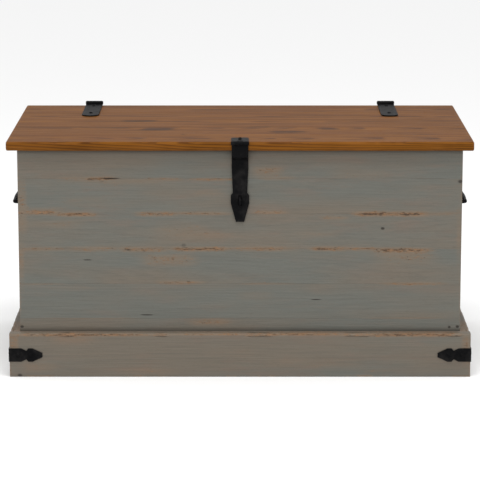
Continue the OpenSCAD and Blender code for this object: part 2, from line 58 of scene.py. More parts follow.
BODY_OF = {n: b for b, ns in frame["record"]["behaviour"]["bodies"].items() for n in ns}
SLOT_OF = {s["node"]: s["material_slot"] for s in frame["record"]["subparts"]}

# %% [markdown]
# ## Camera
# Furniture is shown from far away with a long lens, so that its sides hardly converge. The
# camera stands about five metres in front of the box and looks down on it a little, which
# shows the whole lid as a narrow band. The Standard view leaves white paper white.

# %% The camera
CAMERA_PLACE = (0.0, -4.985, 1.2295)
CAMERA_PITCH = 11.38  # degrees below the horizon
LENS_MM = 185.3

camera = bpy.data.objects.new("camera", bpy.data.cameras.new("camera"))
bpy.context.scene.collection.objects.link(camera)
camera.location = CAMERA_PLACE
camera.rotation_euler = (math.radians(90 - CAMERA_PITCH), 0, 0)
camera.data.lens = LENS_MM
bpy.context.scene.camera = camera
bpy.context.scene.view_settings.view_transform = "Standard"
print("camera looks down", CAMERA_PITCH, "degrees")

# %% [markdown]
# ## Shader sums as plain Python
# A material is a graph of nodes, and its maths reads best as expressions. `Sock` wraps one
# output of a node. Adding, subtracting or multiplying two of them adds the Math node that does
# it, and `node` adds any other kind. Colours are mixed with the Mix node, because a Math node
# would turn them grey.


# %% Sockets that add up
class Sock:
    """One output socket. Arithmetic on it adds Math nodes to its tree."""

    def __init__(self, tree, out=None):
        self.tree, self.out = tree, out

    def node(self, kind, settings, values, out=0):
        """Adds a node: its settings first, then the values or links of its sockets."""
        made = self.tree.nodes.new(kind)
        for name, value in settings.items():
            setattr(made, name, value)
        for key, value in values.items():
            if isinstance(value, Sock):
                self.tree.links.new(value.out, made.inputs[key])
            else:
                made.inputs[key].default_value = value
        return Sock(self.tree, made.outputs[out])

    def math(self, operation, *values):
        return self.node("ShaderNodeMath", {"operation": operation}, dict(enumerate(values)))

    def one(self, operation):
        """An operation on this number alone, such as its root."""
        return self.math(operation, self)

    def __add__(self, other):
        return self.math("ADD", self, other)

    def __sub__(self, other):
        return self.math("SUBTRACT", self, other)

    def __rsub__(self, other):
        return self.math("SUBTRACT", other, self)

    def __mul__(self, other):
        return self.math("MULTIPLY", self, other)

    __radd__, __rmul__ = __add__, __mul__

    def rise(self, low, high):
        """0 below low, 1 above high, and a smooth step between."""
        step = {"Value": self, "From Min": low, "From Max": high}
        return self.node("ShaderNodeMapRange", {"interpolation_type": "SMOOTHSTEP"}, step)

    def stretch(self, x, y, z):
        """A vector scaled along each of its axes."""
        return self.node("ShaderNodeVectorMath", {"operation": "MULTIPLY"}, {0: self, 1: (x, y, z)})

    def noise(self, scale=1.0, detail=3.0, rough=0.55):
        """Cloudy noise round one half, read at this vector."""
        values = {"Vector": self, "Scale": scale, "Detail": detail, "Roughness": rough}
        return self.node("ShaderNodeTexNoise", {}, values)

    def part(self, axis):
        """One part of a vector: 0 for X, 1 for Y, 2 for Z."""
        return self.node("ShaderNodeSeparateXYZ", {}, {0: self}, axis)

    def blend(self, first, second):
        """A colour: first where this is 0, second where it is 1."""
        return self.node("ShaderNodeMix", {"data_type": "RGBA"}, {0: self, 6: first, 7: second}, 2)


print("sockets can be added, subtracted and multiplied")

# %% [markdown]
# Colours are easier to judge as the numbers of a paint chart than as amounts of light, so one
# helper turns the first into the second. Two more start a material and finish it.


# %% Starting and finishing a material
def srgb(r, g, b):
    """A colour from 0 to 255 as a painter mixes it, turned into light for the shader."""
    share = np.array([r, g, b]) / 255
    light = np.where(share <= 0.04045, share / 12.92, ((share + 0.055) / 1.055) ** 2.4)
    return (*[float(v) for v in light], 1.0)


def new_material(name):
    """A material, a place to start its graph from, and its shader."""
    material = bpy.data.materials.new(name)
    material.use_nodes = True
    tree = material.node_tree
    return material, Sock(tree), tree.nodes["Principled BSDF"]


def plug(start, shader, colour, roughness, height, depth_mm, **fixed):
    """Links what varies to the shader, and sets on its sockets what does not."""
    bump = start.node("ShaderNodeBump", {}, {"Height": height, "Distance": depth_mm * MM})
    for key, sock in {"Base Color": colour, "Roughness": roughness, "Normal": bump}.items():
        start.tree.links.new(sock.out, shader.inputs[key])
    for key, value in fixed.items():
        shader.inputs[key.replace("_", " ")].default_value = value


print("a middle grey of 128 is", round(srgb(128, 128, 128)[0], 3), "of the light")

# %% [markdown]
# ## The figure of pine
# A board is a slice of a tree, so its figure is the tree's rings cut by a plane. Each plank
# below carries an attribute called `grain`: how far along the tree a point lies, and how far
# from its heart, sideways and in depth. The length of the last two is the ring's radius.
# Knots are spots where a branch pushed the rings aside. A wood picture wrapped round a board
# would repeat and would not meet its end grain. Rings worked out from `grain` do, so all three
# woods share this figure.

# %% Rings, fibres and knots
RING_MM = 3.4


def pine_figure(start, knot_share, knot):
    """Radius is the root of side squared plus depth squared, wandering along the tree and
    pushed out near a knot. Late wood is where the fractional part of radius over ring width
    is high. A knot sits in the middle of some of the cells of a stretched Voronoi pattern."""
    grain = start.node("ShaderNodeAttribute", {"attribute_name": "grain"}, {}, "Vector")
    cells = {"Vector": grain.stretch(5.5, 7.5, 0.0), "Scale": 1.0, "Randomness": 0.9}
    near = start.node("ShaderNodeTexVoronoi", {"voronoi_dimensions": "2D"}, cells, "Distance")
    pick = Sock(start.tree, near.out.node.outputs["Color"]).part(0)
    knotty = pick.rise(1 - knot_share, 1.02 - knot_share)
    side, depth = grain.part(1), grain.part(2)
    wander = (grain.stretch(1.6, 9, 9).noise(1, 2) - 0.5) * 0.022
    push = knotty * (1 - near.rise(0, knot * 4)) * 0.010
    radius = (side * side + depth * depth).one("SQRT") + wander + push
    ring = (radius * (1000 / RING_MM) + grain.stretch(9, 60, 60).noise() * 0.9).one("FRACT")
    late = ring.rise(0.35, 0.92) * (1 - ring.rise(0.93, 1))
    fibre = grain.stretch(14, 620, 620).noise(1, 4, 0.6)
    core = knotty * (1 - near.rise(knot * 0.8, knot))
    rim = knotty * near.rise(knot * 0.7, knot) * (1 - near.rise(knot, knot * 1.8))
    return grain, late, fibre, core, rim


print("rings are", RING_MM, "mm wide")


# %% [markdown]
# ## Grey wash
# The walls and the plinth are brushed with thin paint, slate grey in some places and warmer
# in others, and rubbed back with a wire brush. Each plank carries an attribute called `rub`
# that says where hands and the brush went. There the paint breaks into short dashes along
# the grain, and orange-brown wood with dark pores shows through. The front also has a few
# filled nail holes and small splits. They are smaller than the spacing of a plank's points, so
# the finish works them out from Object coordinates.


# %% Small marks of the front
# Each mark: X, Z, half length and half height in mm.
SHAKES = [
    (280, 295, 4.5, 3.2), (-184, 121, 15, 1.4), (-252, 394.5, 20, 1.8), (-431, 97, 4, 3.2),
    (414, 96, 3.2, 3), (430, 97, 4, 3.2), (-300, 232, 10, 1.2), (150, 152, 12, 1.2),
]
FRONT_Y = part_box("front_board_1")[0][1]
SHAKE_FADE = 60  # per metre: the marks are gone 1/60 m behind the front


def shakes_at(place):
    """1 inside each small mark of the front: where (dx / length)^2 + (dz / height)^2 < 1."""
    inside = []
    for x, z, along, across in SHAKES:
        middle = (x * MM, FRONT_Y, z * MM)
        away = place.node("ShaderNodeVectorMath", {"operation": "SUBTRACT"}, {0: place, 1: middle})
        scaled = away.stretch(1 / (along * MM), SHAKE_FADE, 1 / (across * MM))
        far = place.node("ShaderNodeVectorMath", {"operation": "LENGTH"}, {0: scaled}, "Value")
        inside.append(1 - far.rise(0.5, 1.1))
    return sum(inside)


print("marks of the front:", len(SHAKES))

# %% [markdown]
# The paint is mixed from the bottom up: two greys, brush streaks and specks, then thin paint,
# bare wood and pits where it is rubbed, then knots, a painted shade in the corners under the lid
# and above the plinth, and cracks. Each layer is one blend over the last, as a painter would lay it.


# %% Grey-washed pine
PLINTH_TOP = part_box("plinth_front")[1][2]
WALL_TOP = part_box("front_board_6")[1][2]


def grey_washed(name, warm):
    """Two greys drift into each other. Pits and bare wood are where dash noise plus rub
    passes a threshold, and a warm haze of thin paint spreads round them. A painted shade
    darkens the corners under the lid and just above the plinth, where shadow falls."""
    material, start, shader = new_material(name)
    grain, late, fibre, core, rim = pine_figure(start, 0.05, 0.022)
    rub = start.node("ShaderNodeAttribute", {"attribute_name": "rub"}, {}, "Fac")
    place = start.node("ShaderNodeTexCoord", {}, {}, "Object")
    drift = grain.stretch(3.0, 13, 13).noise(1, 3, 0.55)
    cloud = grain.stretch(9, 40, 40).noise(1, 4, 0.65)
    streak = grain.stretch(8, 260, 260).noise(1, 3, 0.6)
    brush = grain.stretch(12, 950, 950).noise(1, 2, 0.6)
    speck = grain.stretch(120, 700, 700).noise(1, 3, 0.7)
    dash = grain.stretch(105, 340, 340).noise(1, 4, 0.75)
    pit = grain.stretch(95, 400, 400).noise(1, 4, 0.75)
    paint = (drift + warm).rise(0.34, 0.70).blend(srgb(95, 96, 90), srgb(103, 95, 84))
    paint = (cloud.rise(0.48, 0.72) * (0.30 + warm * 2)).blend(paint, srgb(111, 94, 82))
    paint = (streak.rise(0.42, 0.78) * 0.26 + late * 0.10).blend(paint, srgb(76, 75, 70))
    paint = (brush.rise(0.46, 0.74) * 0.22).blend(paint, srgb(116, 112, 104))
    paint = (speck.rise(0.54, 0.76) * 0.36).blend(paint, srgb(78, 71, 62))
    thin = (rub * (0.35 + cloud)).rise(0.08, 0.85)
    paint = (thin * 0.70).blend(paint, srgb(124, 101, 79))
    worn = (dash * 0.95 + rub * 0.33 + cloud * 0.20).rise(0.80, 0.90)
    colour = (worn * 0.75).blend(paint, srgb(129, 97, 70))
    pitted = (pit * 0.95 + rub * 0.31).rise(0.76, 0.84)
    colour = (pitted * 0.80).blend(colour, srgb(66, 52, 41))
    colour = (core * 0.9 + rim * 0.35).blend(colour, srgb(48, 43, 38))
    # Painted shade: the paint is darkened towards brown in the 10.5 mm under the lid and in the 11 mm just
    # above the plinth, where shadow falls.
    up = place.part(2)
    off_plinth = up.rise(PLINTH_TOP + 0.1 * MM, PLINTH_TOP + 0.4 * MM)
    on_plinth = 1 - up.rise(PLINTH_TOP - 1 * MM, PLINTH_TOP + 11 * MM)
    painted_corner_shade = up.rise(WALL_TOP - 10.5 * MM, WALL_TOP) + on_plinth * off_plinth
    colour = (painted_corner_shade * 0.60).blend(colour, srgb(50, 43, 36))
    crack = grain.stretch(13, 800, 800).noise(1, 2).rise(0.80, 0.84) + shakes_at(place)
    colour = (crack * 0.85).blend(colour, srgb(38, 33, 28))
    height = fibre * 0.5 + streak * 0.6 + cloud * 0.5 - worn * 0.5 - pitted * 0.9 - crack
    plug(start, shader, colour, fibre * 0.14 + worn * 0.08 + 0.55, height, 0.6, Specular_IOR_Level=0.25)
    return material


# The second value says how warm the paint is.
GREY_LOW = grey_washed("grey_washed_low", -0.04)
GREY = grey_washed("grey_washed", 0.05)
GREY_WARM = grey_washed("grey_washed_warm", 0.08)
print("grey washes mixed")

# %% [markdown]
# ## Honey-brown lid
# The lid is stained and waxed. Stain sinks in unevenly, so here the grain does show, as long
# brown streaks and a few dark flecks. Rings alone would look like printed veneer, so narrow
# streaks, wide bands and slow clouds of noise are added to them before one blend turns the sum
# into colour. The wax is thin, so there is only a low sheen.


# %% Waxed brown pine
def honey_waxed(name):
    """Colour runs from amber to brown with ring, fibre and slow cloud noise added up."""
    material, start, shader = new_material(name)
    grain, late, fibre, core, rim = pine_figure(start, 0.10, 0.018)
    rub = start.node("ShaderNodeAttribute", {"attribute_name": "rub"}, {}, "Fac")
    mark = start.node("ShaderNodeAttribute", {"attribute_name": "mark"}, {}, "Fac")
    cloud = grain.stretch(2.4, 14, 14).noise(1, 4, 0.6)
    streak = grain.stretch(5, 130, 130).noise(1, 4, 0.65)
    fleck = grain.stretch(28, 330, 330).noise(1, 3, 0.65)
    band = grain.stretch(2.8, 48, 48).noise(1, 3, 0.6)
    tone = late * 0.20 + fibre * 0.16 + streak * 0.40 + band * 0.45 + cloud * 0.10
    colour = tone.rise(0.44, 0.80).blend(srgb(114, 70, 19), srgb(74, 42, 13))
    colour = (cloud.rise(0.50, 0.78) * 0.45).blend(colour, srgb(92, 49, 22))
    colour = (rub * streak.rise(0.3, 0.7) * 0.5).blend(colour, srgb(140, 88, 38))
    dark = (fleck * 0.5 + band * 0.5 + mark * 0.34).rise(0.64, 0.80)
    colour = (dark * 0.85).blend(colour, srgb(46, 27, 16))
    colour = (core * 0.85 + rim * 0.5).blend(colour, srgb(42, 24, 15))
    height = fibre * 0.35 + late * 0.2 + cloud * 0.6 - dark * 0.5
    fixed = {"Specular_IOR_Level": 0.045}
    plug(start, shader, colour, fibre * 0.14 + streak * 0.10 + 0.40, height, 0.4, **fixed)
    return material


LID = honey_waxed("honey_waxed")
print("mixed", LID.name)


# %% [markdown]
# ## Bare pine
# Inside, the posts, cleats, bottom and wall faces are planed and left unpainted, so the rings
# and knots show best here. The figure is the one under the paint, so that both faces of a
# board come from the same tree, and only the colours are new.


# %% Planed bare pine
def bare_planed(name):
    """Pale early wood and warmer late wood, with brown knots."""
    material, start, shader = new_material(name)
    grain, late, fibre, core, rim = pine_figure(start, 0.22, 0.055)
    cloud = grain.stretch(2, 10, 10).noise()
    colour = late.blend(srgb(206, 172, 128), srgb(180, 134, 86))
    colour = (cloud.rise(0.4, 0.8) * 0.4).blend(colour, srgb(190, 148, 102))
    colour = (fibre.rise(0.55, 0.85) * 0.25).blend(colour, srgb(160, 122, 84))
    colour = (core * 0.8 + rim * 0.5).blend(colour, srgb(112, 68, 40))
    height = fibre * 0.4 + late * 0.25 + cloud * 0.4
    plug(start, shader, colour, fibre * 0.15 + 0.5, height, 0.35, Specular_IOR_Level=0.3)
    return material


BARE = bare_planed("planed_pine")
print("mixed", BARE.name)

# %% [markdown]
# ## Iron and steel
# The fittings are black iron: forged flat, hammered all over and waxed. Hammer marks are
# shallow round dishes. Carved into the mesh they would take a million faces, so a soft cell
# pattern gives them to a Bump node. Grit and an uneven black skin lie over them.


# %% Hammered black iron
def hammered_iron(name):
    """Each hammer mark is the distance to the nearest cell centre; grit and haze lie over it."""
    material, start, shader = new_material(name)
    place = start.node("ShaderNodeTexCoord", {}, {}, "Object")
    cells = {"Vector": place, "Scale": 160, "Smoothness": 0.7}
    marks = start.node("ShaderNodeTexVoronoi", {"feature": "SMOOTH_F1"}, cells, "Distance")
    grit = place.noise(1100, 3, 0.6)
    haze = place.noise(45, 4, 0.65)
    colour = haze.rise(0.42, 0.72).blend(srgb(15, 15, 16), srgb(29, 28, 28))
    colour = (grit.rise(0.62, 0.82) * 0.4).blend(colour, srgb(38, 34, 31))
    height = marks * 0.9 + grit * 0.10 + haze * 0.3
    fixed = {"Specular_IOR_Level": 0.02}
    plug(start, shader, colour, haze * 0.24 + grit * 0.14 + 0.26, height, 0.7, **fixed)
    return material


IRON = hammered_iron("hammered_iron")
print("mixed", IRON.name)


# %% [markdown]
# The lid stay is ordinary zinc-plated steel from a rolling mill, so its fine lines run one way
# and its sheen is even. It is the only bare metal, so it alone is metallic.


# %% Zinc-plated steel
def zinc_steel(name):
    """Fine lines, as noise stretched along Y, over a pale grey bloom."""
    material, start, shader = new_material(name)
    place = start.node("ShaderNodeTexCoord", {}, {}, "Object")
    lines = place.stretch(300, 60, 900).noise()
    bloom = place.noise(60, 4, 0.6)
    colour = bloom.rise(0.35, 0.7).blend(srgb(172, 172, 168), srgb(136, 137, 138))
    plug(start, shader, colour, lines * 0.18 + bloom * 0.15 + 0.24, lines, 0.06, Metallic=1.0)
    return material


STEEL = zinc_steel("zinc_steel")
FINISH = {"grey_pine": GREY, "lid_pine": LID, "bare_pine": BARE, "black_iron": IRON, "stay_steel": STEEL}
print("finishes:", ", ".join(m.name for m in FINISH.values()))

# %% [markdown]
# ## Where the paint is worn
# The grey boards are glued flush, so the joints do not show as grooves. They show as broken
# lines of worn paint, and here and there a whole patch is rubbed. A table lists the patches
# of the front, and the other walls get patches drawn at random along their joints. A painted
# mask would do the same, but a table can be read, changed and moved with the joints.

# %% Patches of wear
rng = np.random.default_rng(7)
joint_z = np.array([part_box(f"front_board_{i}")[1][2] / MM for i in range(1, 6)])
# Each row: joint counted from the floor, middle X, height above the joint, half length and
# half height in mm, and strength.
FRONT_ROWS = np.array(
    [
        (5, -272, 0, 36, 4.0, 0.95), (5, -300, -2, 64, 8.0, 0.55), (5, -225, -6, 80, 9.0, 0.50),
        (5, -150, -1, 50, 4.5, 0.62), (5, -50, -1, 60, 4.0, 0.68), (5, 55, 14, 34, 12.0, 0.70),
        (5, 70, 2, 44, 7.0, 0.55), (5, 230, 10, 70, 14.0, 0.42), (5, -60, -28, 40, 8.0, 0.45),
        (5, 0, 46, 430, 3.5, 0.42),
        (4, -385, 3, 44, 7.0, 0.78), (4, -325, -1, 46, 4.5, 0.98), (4, -355, -22, 60, 8.0, 0.58),
        (4, -160, 0, 50, 6.0, 0.80), (4, -75, 1, 66, 4.5, 0.78), (4, 60, 3, 38, 5.0, 0.66),
        (4, 185, -8, 34, 6.0, 0.62), (4, 262, 0, 44, 6.0, 1.05), (4, 330, 0, 50, 6.0, 1.0),
        (4, 395, 0, 34, 5.0, 0.62), (4, -120, -32, 70, 14.0, 0.50), (4, -300, 24, 60, 12.0, 0.42),
        (4, -427, 14, 10, 66.0, 0.66),
        (3, -385, 0, 56, 5.0, 0.66), (3, -290, 0, 66, 7.0, 0.64), (3, -190, -1, 56, 7.0, 0.84),
        (3, -80, 0, 70, 5.0, 0.98), (3, 45, 0, 70, 6.0, 0.72), (3, 175, 0, 42, 5.0, 0.98),
        (3, 240, 0, 40, 4.0, 0.80), (3, 318, -3, 66, 7.0, 1.0), (3, -140, -22, 62, 15.0, 0.70),
        (3, 330, -22, 74, 13.0, 0.62), (3, -95, 26, 90, 14.0, 0.46), (3, 150, 30, 60, 12.0, 0.40),
        (3, -430, -30, 7, 60.0, 0.55), (3, 430, 30, 6, 90.0, 0.45),
        (2, -385, 0, 44, 3.5, 0.45), (2, -118, 3, 52, 5.0, 0.78), (2, 55, 0, 66, 3.5, 0.52),
        (2, 340, 0, 72, 4.0, 0.70), (2, 30, -24, 44, 9.0, 0.52), (2, -330, -10, 60, 8.0, 0.40),
        (1, -60, -9, 48, 11.0, 0.62), (1, -300, 0, 120, 2.4, 0.42), (1, 330, 0, 90, 2.6, 0.48),
    ]
)
patch_z = joint_z[FRONT_ROWS[:, 0].astype(int) - 1] + FRONT_ROWS[:, 2]
FRONT_WEAR = np.column_stack([FRONT_ROWS[:, 1], patch_z, FRONT_ROWS[:, 3:]])
print("front patches:", len(FRONT_WEAR))

# %% [markdown]
# Every table of patches has the same five columns: middle along and up the face, half length,
# half height and strength. The other faces draw theirs at random, and one function reads all
# of the tables.


# %% More patches, and how to read them
# Middle X, middle Z, half length and half height in mm, and strength.
PLINTH_WEAR = np.array(
    [
        (-300, 85, 170, 3.5, 0.95), (-60, 86, 90, 3.0, 0.75), (120, 86, 110, 3.0, 0.85),
        (340, 85, 120, 4.5, 1.0), (-445, 62, 10, 30.0, 0.70), (446, 60, 8, 34.0, 0.85),
        (-330, 74, 60, 12.0, 0.45), (-180, 12, 80, 9.0, 0.40), (140, 26, 120, 16.0, 0.36),
        (-20, 50, 70, 12.0, 0.32), (300, 14, 100, 9.0, 0.42), (-395, 20, 40, 12.0, 0.42),
    ]
)


def random_wear(half_length, heights, count=6):
    """Patches at random along joints at the given heights."""
    n = count * len(heights)
    x = rng.uniform(-half_length, half_length, n)
    z = np.repeat(heights, count) + rng.normal(0, 2, n)
    shape = rng.uniform([14, 1.6, 0.25], [80, 6.0, 1.0], (n, 3))
    return np.column_stack([x, z, shape])


def wear_at(x, z, table):
    """How rubbed a point is: the highest of the patches round it. A patch falls from its
    middle as exp(-(dx / half length)^4 - (dz / half height)^2)."""
    x0, z0, a, b, strength = [column[:, None, None] for column in table.T]
    dx, dz = (x / MM - x0) / a, (z / MM - z0) / b
    return (strength * np.exp(-(dx**4) - dz**2)).max(0)


print("plinth patches:", len(PLINTH_WEAR))

# %% [markdown]
# ## Planks
# A plain box never looks like timber. A plank's long edges are rounded by handling, and more
# in some places than in others. Its faces are planed a little hollow here and proud there, and
# its ends are eased. So a plank is a rounded section carried along the board. Every point
# starts from the sharp box and moves inwards, so that a plank never leaves its place.


# %% The section of a plank
CORNERS = ((1, 1), (-1, 1), (-1, -1), (1, -1))


def section_loop(half_w, half_t, radii, spacing):
    """The section as one loop, turning from the face side: for each of the four corners, five
    points on its arc, and then the points of the flat that follows it.

    A corner's point is corner + radius * (normal - sign); a point of a flat stays put. Returns
    base points, their pull per unit of radius, normals, corner numbers, edge distances.
    """
    signs = np.array(CORNERS, float)
    half = np.array([half_w, half_t])
    rows = []
    for k in range(4):
        angles = math.pi / 2 * k + np.linspace(0, math.pi / 2, 5)
        out = np.column_stack([np.cos(angles), np.sin(angles)])
        rows.append((np.tile(signs[k] * half, (5, 1)), out - signs[k], out, np.full(5, k), np.zeros(5)))
        axis = k % 2
        first = max(radii[k], radii[(k + 1) % 4]) * 1.5 + 0.4 * MM
        near = [d for d in (first, first + 2.5 * MM, first + 7 * MM) if d < half[axis] * 0.8]
        count = max(3, int(2 * half[axis] / spacing))
        middle = np.linspace(near[-1], 2 * half[axis] - near[-1], count)[1:-1]
        d = np.concatenate([near, middle, [2 * half[axis] - v for v in near[::-1]]])
        points = np.tile(signs[k] * half, (len(d), 1))
        points[:, axis] = signs[k][axis] * (half[axis] - d)
        ways = np.zeros_like(points)
        ways[:, 1 - axis] = signs[k][1 - axis]
        edge = np.minimum(d, 2 * half[axis] - d)
        rows.append((points, np.zeros_like(points), ways, np.full(len(d), k), edge))
    return [np.concatenate(part) for part in zip(*rows)]


print("points round a section of 70 x 18 mm:", len(section_loop(0.035, 0.009, [MM] * 4, 11 * MM)[0]))


# %% [markdown]
# The rings of points along the plank are close together near its ends, where the end is
# eased by a quarter circle, and evenly spaced between.


# %% Stations along a plank
def stations(half_l, ease, spacing):
    """Places along the plank and how far each is inset: half length - ease (1 - cos) and
    ease (1 - sin) over a quarter turn at each end."""
    turn = np.linspace(0, math.pi / 2, 4)
    place, inset = half_l - ease * (1 - np.cos(turn)), ease * (1 - np.sin(turn))
    inner = half_l - ease - np.array([14, 6, 2]) * MM
    body = np.linspace(-inner[0], inner[0], max(4, int(2 * half_l / spacing)))[1:-1]
    end_s, end_d = np.concatenate([inner, place[::-1]]), np.concatenate([np.zeros(3), inset[::-1]])
    return np.concatenate([-end_s[::-1], body, end_s]), np.concatenate([end_d[::-1], 0 * body, end_d])


print("stations along a metre:", len(stations(0.5, 1 * MM, 8 * MM)[0]))

# %% [markdown]
# ## The hand of the maker
# Nothing made by hand repeats, but it is smooth. A sum of a few sine waves with random phases
# has both properties, costs one array expression and is the same on each run.


# %% A wandering line
def wave(s, cycles, phases):
    """A smooth random line between -1 and 1: sines of a few lengths, the longest strongest."""
    weights = 1 / np.sqrt(cycles)
    return sum(w * np.sin(s * c + p) for c, p, w in zip(cycles, phases, weights)) / weights.sum()


WAVES = np.array([31.0, 67, 140, 290])  # radians per metre along a plank
print("longest wave:", round(2 * math.pi / WAVES[0], 2), "m")


# %% [markdown]
# Every new piece is a grid of points that becomes faces in the same way, so two short helpers
# do it. A third puts the piece on its body and hides the CAD part.


# %% From arrays to pieces
def make_piece(name, points, faces, material, attributes):
    """An object from arrays. Attributes with three columns become vectors."""
    mesh = bpy.data.meshes.new(name)
    mesh.from_pydata(points.tolist(), [], faces)
    for key, values in attributes.items():
        kind, field = ("FLOAT_VECTOR", "vector") if values.ndim == 2 else ("FLOAT", "value")
        mesh.attributes.new(key, kind, "POINT").data.foreach_set(field, values.astype(np.float32).ravel())
    mesh.polygons.foreach_set("use_smooth", np.ones(len(faces), bool))
    mesh.materials.append(material)
    piece = bpy.data.objects.new(name, mesh)
    bpy.context.scene.collection.objects.link(piece)
    return piece


def tube_faces(rings, around):
    """Quads between rings of points, each ring closed on itself."""
    ring = np.arange(rings - 1)[:, None] * around
    here = np.arange(around)[None, :]
    there = (here + 1) % around
    over = ring + around
    return np.stack([ring + here, ring + there, over + there, over + here], -1).reshape(-1, 4)


def settle(piece, node_name):
    """The piece rides on the body of a CAD node and takes its place, and the CAD node is hidden."""
    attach(piece, BODY_OF[node_name])
    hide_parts(node_name)
    return piece


print("faces of a tube of 3 rings of 8:", len(tube_faces(3, 8)))

# %% [markdown]
# A plank's rings are worked out first as points across and out from its middle line, all at
# once for all stations. The long edges get their random rounding, the ends shrink, and the
# faces get their shallow hollows.


# %% The rings of a plank
HOLLOW = 0.2 * MM


def plank_rings(half, radii, wear, ease, glued):
    """Rings of points (across, out) for half sizes across, out and along.

    A corner's radius is its own times 1 + (wear - 1) * grow, where grow is a random line from
    0 to 1. An end shrinks its ring by inset / half size, but not across glued sides. A flat
    moves in by HOLLOW * (1 + wave * cos) / 2, fading out within 10 mm of its edges.
    """
    base, pull, normal, corner, edge = section_loop(half[0], half[1], radii, 11 * MM)
    s, inset = stations(half[2], ease, 8 * MM)
    phases = rng.uniform(0, 6.28, (6, 4))
    grow = np.column_stack([np.clip(2 * wave(s, WAVES, phases[k]), 0, 1) for k in range(4)])
    grow = grow[:, corner]
    radius = radii[corner] * (1 + (wear - 1) * grow)
    rings = base + radius[..., None] * pull
    free = np.where(rings[..., 0] > 0, not glued[1], not glued[0])
    rings[..., 0] -= inset[:, None] * free * rings[..., 0] / half[0]
    rings[..., 1] -= inset[:, None] * rings[..., 1] / half[1]
    ripple = wave(s[:, None] + 0.3 * base[:, 0], WAVES / 4, phases[4])
    dip = 0.5 + 0.5 * ripple * np.cos(40 * base[:, 0] + phases[5, 0])
    rings -= (HOLLOW * dip * np.clip(edge / (10 * MM), 0, 1))[..., None] * normal
    return s, rings, edge, grow, phases[5]


print("hollows are at most", HOLLOW / MM, "mm deep")

# %% [markdown]
# Two attributes go with the points. `rub` says how worn the edges and ends are. `grain` says
# where in its tree the plank was sawn, and no two planks come from the same place.


# %% What the finish needs to know
def edge_wear(s, rings, edge, grow, half_l, edge_rub, phases):
    """Long edges: exp(-(distance / 1.6 mm)^2) * grow. Ends: exp(-(distance / 3.5 mm)^2) times
    a random line across. The wear is the higher of the two."""
    near_edge = np.exp(-((edge / (1.6 * MM)) ** 2)) * grow
    near_end = np.exp(-(((half_l - np.abs(s[:, None])) / (3.5 * MM)) ** 2))
    near_end = near_end * (0.55 + 0.45 * wave(rings[..., 0] * 3, WAVES, phases))
    return np.maximum(near_edge * edge_rub, near_end * 0.8)


def sawn_from_tree(s, rings):
    """Along the tree, sideways and in depth from its heart. The cut leans by a random tilt."""
    heart, off = rng.uniform(18, 60) * MM, rng.uniform(-30, 30) * MM
    tilt, start = rng.uniform(-0.035, 0.035), rng.uniform(0, 40)
    run = np.broadcast_to(s[:, None], rings.shape[:2])
    return np.stack([run + start, rings[..., 0] + off, rings[..., 1] + heart + tilt * run], -1)


print("each plank has rub and grain")

# %% [markdown]
# A whole plank takes its size and place from its CAD board. Its ring points are laid along
# the board's own axis, and where two finishes meet, faces that look inwards get the inner one.


# %% A whole plank
AXIS = {"x": 0, "y": 1, "z": 2}


def plank(node_name, along, out, edge_mm, wear, soft=(), soft_mm=0, table=None, **look):
    """A plank in the place of a CAD board.

    along is the board's axis, and out the sign and axis of its face, such as "-y". soft lists
    corners of the section, as signs across and out, that are rounded by soft_mm. The others
    are rounded by edge_mm, and by up to wear times that where a random line is high.
    """
    lo, hi = [np.array(v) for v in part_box(node_name)]
    a, t = AXIS[along], AXIS[out[1]]
    w = 3 - a - t
    sign = 1.0 if out[0] == "+" else -1.0
    middle, half = (lo + hi) / 2, ((hi - lo) / 2)[[w, t, a]]
    radii = np.array([soft_mm if c in soft else edge_mm for c in CORNERS]) * MM
    ease, glued = look.get("ease", 0.8) * MM, look.get("glued", (False, False))
    s, rings, edge, grow, phases = plank_rings(half, radii, wear, ease, glued)
    points = np.zeros((*rings.shape[:2], 3))
    points[..., a] = middle[a] + s[:, None]
    points[..., w] = middle[w] + rings[..., 0]
    points[..., t] = middle[t] + sign * rings[..., 1]
    rub = edge_wear(s, rings, edge, grow, half[2], look.get("edge_rub", 0.5), phases)
    if table is not None:
        rub = np.maximum(rub, wear_at(points[..., a], points[..., w], table))
    values = {"grain": sawn_from_tree(s, rings).reshape(-1, 3), "rub": rub.ravel()}
    if "marks" in look:
        values["mark"] = wear_at(points[..., a], points[..., w], look["marks"]).ravel()
    around = len(edge)
    last = (len(s) - 1) * around
    ends = [list(range(around))[::-1], list(range(last, last + around))]
    faces = tube_faces(len(s), around).tolist() + ends
    if np.linalg.det(np.eye(3)[[w, t, a]]) * sign < 0:
        faces = [face[::-1] for face in faces]
    finish = look.get("finish", FINISH[SLOT_OF[node_name]])
    piece = make_piece(node_name + "_plank", points.reshape(-1, 3), faces, finish, values)
    if "inner" in look:
        piece.data.materials.append(look["inner"])
        facing = np.zeros(len(faces) * 3)
        piece.data.polygons.foreach_get("normal", facing)
        inside = facing.reshape(-1, 3)[:, t] * sign < -0.7
        piece.data.polygons.foreach_set("material_index", inside.astype(np.int32))
    return settle(piece, node_name)


print("ready to saw planks")

# %% [markdown]
# ## The walls
# Six boards make the front and each side, and three wide ones the back. One panel with lines
# drawn on it would be less work, but then no edge would catch the light and every board would
# have the same figure. The upper boards took the warmer paint.

